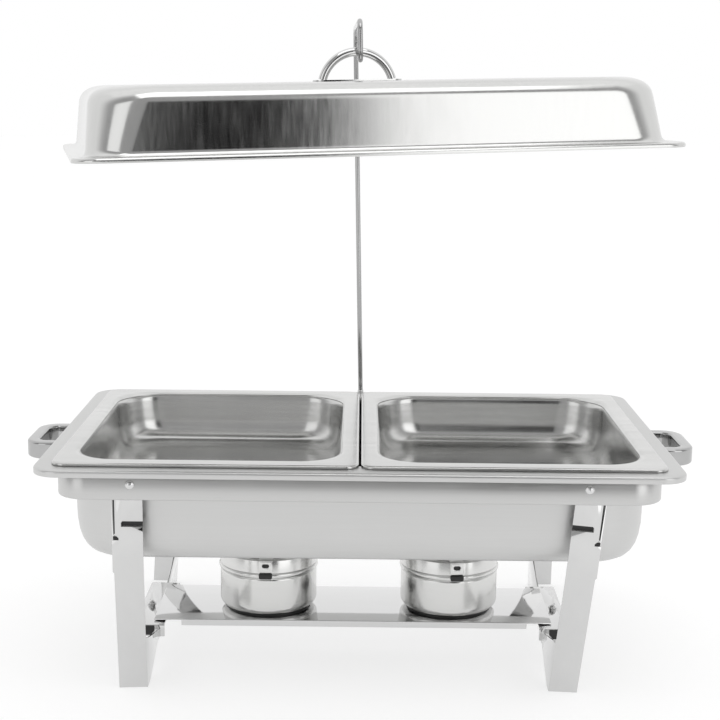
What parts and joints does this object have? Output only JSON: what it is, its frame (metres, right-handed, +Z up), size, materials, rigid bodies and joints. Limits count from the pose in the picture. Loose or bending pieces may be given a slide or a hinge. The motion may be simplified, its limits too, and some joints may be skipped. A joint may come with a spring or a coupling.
{
  "type": "folding chafing dish buffet server",
  "caption": "Folding-leg buffet server with lift-out food pans over a water bath, gel-fuel burners on a shelf and a lid hung on a swivel hook",
  "frame": {"origin": "centre of the outline in plan, on the floor under the feet", "axes": "+Z up, front is -Y, the long side runs along X"},
  "size_m": [0.634, 0.4282, 0.5924],
  "materials": {
    "band": "satin",
    "grip": "mirror polish",
    "hardware": "satin",
    "leg": "mirror polish",
    "black_trim": "matte black",
    "shelf": "mirror polish",
    "burner": "fine satin",
    "collar": "fine satin",
    "fuel": "matte",
    "snuffer": "satin",
    "water_pan": "satin",
    "food_pan": "bright satin",
    "hook": "mirror polish",
    "lid": "bright satin",
    "lid_handle": "mirror polish"
  },
  "bodies": {
    "frame": {"frame_band": "band", "band_hem": "band", "handle_left": "grip", "handle_right": "grip", "handle_screws_left": "hardware", "handle_screws_right": "hardware", "pivot_rivets_left": "hardware", "pivot_rivets_right": "hardware", "pivot_washers_left": "hardware", "pivot_washers_right": "hardware", "hook_socket": "band", "socket_bracket": "band", "socket_rivets": "hardware"},
    "left_legs": {"leg_front_left": "leg", "leg_back_left": "leg", "bridge_left": "leg", "stud_left": "hardware", "bridge_caps_left": "black_trim"},
    "right_legs": {"leg_front_right": "leg", "leg_back_right": "leg", "bridge_right": "leg", "stud_right": "hardware", "bridge_caps_right": "black_trim"},
    "shelf": {"shelf": "shelf"},
    "burner_left": {"burner_cup_left": "burner", "burner_base_left": "black_trim", "burner_collar_left": "collar", "fuel_can_left": "fuel", "snuffer_pin_left": "hardware"},
    "burner_right": {"burner_cup_right": "burner", "burner_base_right": "black_trim", "burner_collar_right": "collar", "fuel_can_right": "fuel", "snuffer_pin_right": "hardware"},
    "snuffer_left": {"snuffer_disc_left": "snuffer", "snuffer_tab_left": "snuffer", "snuffer_grip_left": "black_trim"},
    "snuffer_right": {"snuffer_disc_right": "snuffer", "snuffer_tab_right": "snuffer", "snuffer_grip_right": "black_trim"},
    "water_pan": {"water_pan": "water_pan"},
    "food_pan_left": {"food_pan_left": "food_pan"},
    "food_pan_right": {"food_pan_right": "food_pan"},
    "hook": {"hook_rod": "hook", "hook_collar": "hardware"},
    "lid": {"lid_shell": "lid", "lid_handle": "lid_handle", "lid_handle_plate": "lid_handle", "lid_handle_nuts": "hardware"}
  },
  "joints": [
    {"name": "pan_lift", "type": "slide", "parent": "frame", "child": "water_pan", "axis": [0, 0, 1], "range_m": [0, 0.18]},
    {"name": "left_fold", "type": "hinge", "parent": "frame", "child": "left_legs", "pos_m": [-0.1983, 0, 0.191], "axis": [0, -1, 0], "range_deg": [0, 80]},
    {"name": "right_fold", "type": "hinge", "parent": "frame", "child": "right_legs", "pos_m": [0.1983, 0, 0.191], "axis": [0, 1, 0], "range_deg": [0, 80]},
    {"name": "shelf_lift", "type": "slide", "parent": "frame", "child": "shelf", "axis": [0, 0, 1], "range_m": [0, 0.18]},
    {"name": "burner_left_slide", "type": "slide", "parent": "shelf", "child": "burner_left", "axis": [0, -1, 0], "range_m": [0, 0.045]},
    {"name": "burner_right_slide", "type": "slide", "parent": "shelf", "child": "burner_right", "axis": [0, -1, 0], "range_m": [0, 0.045]},
    {"name": "snuffer_left_turn", "type": "hinge", "parent": "burner_left", "child": "snuffer_left", "pos_m": [-0.0885, 0, 0.087], "axis": [0, 0, 1], "range_deg": [0, 45]},
    {"name": "snuffer_right_turn", "type": "hinge", "parent": "burner_right", "child": "snuffer_right", "pos_m": [0.0885, 0, 0.087], "axis": [0, 0, 1], "range_deg": [-5.6, 39.4]},
    {"name": "food_pan_left_lift", "type": "slide", "parent": "water_pan", "child": "food_pan_left", "axis": [0, 0, 1], "range_m": [0, 0.06]},
    {"name": "food_pan_right_lift", "type": "slide", "parent": "water_pan", "child": "food_pan_right", "axis": [0, 0, 1], "range_m": [0, 0.06]},
    {"name": "hook_swivel", "type": "hinge", "parent": "frame", "child": "hook", "pos_m": [0, 0.1845, 0.18], "axis": [0, 0, 1], "range_deg": [-90, 90]},
    {"name": "lid_swivel", "type": "hinge", "parent": "hook", "child": "lid", "pos_m": [-0.0042, 0, 0.558], "axis": [0, 0, 1], "range_deg": [-26, 9]}
  ],
  "couplings": [
    {"joint": "left_fold", "follows": "pan_lift", "rad_per_m": 7.75},
    {"joint": "right_fold", "follows": "pan_lift", "rad_per_m": 7.75},
    {"joint": "shelf_lift", "follows": "pan_lift", "ratio": 1}
  ]
}
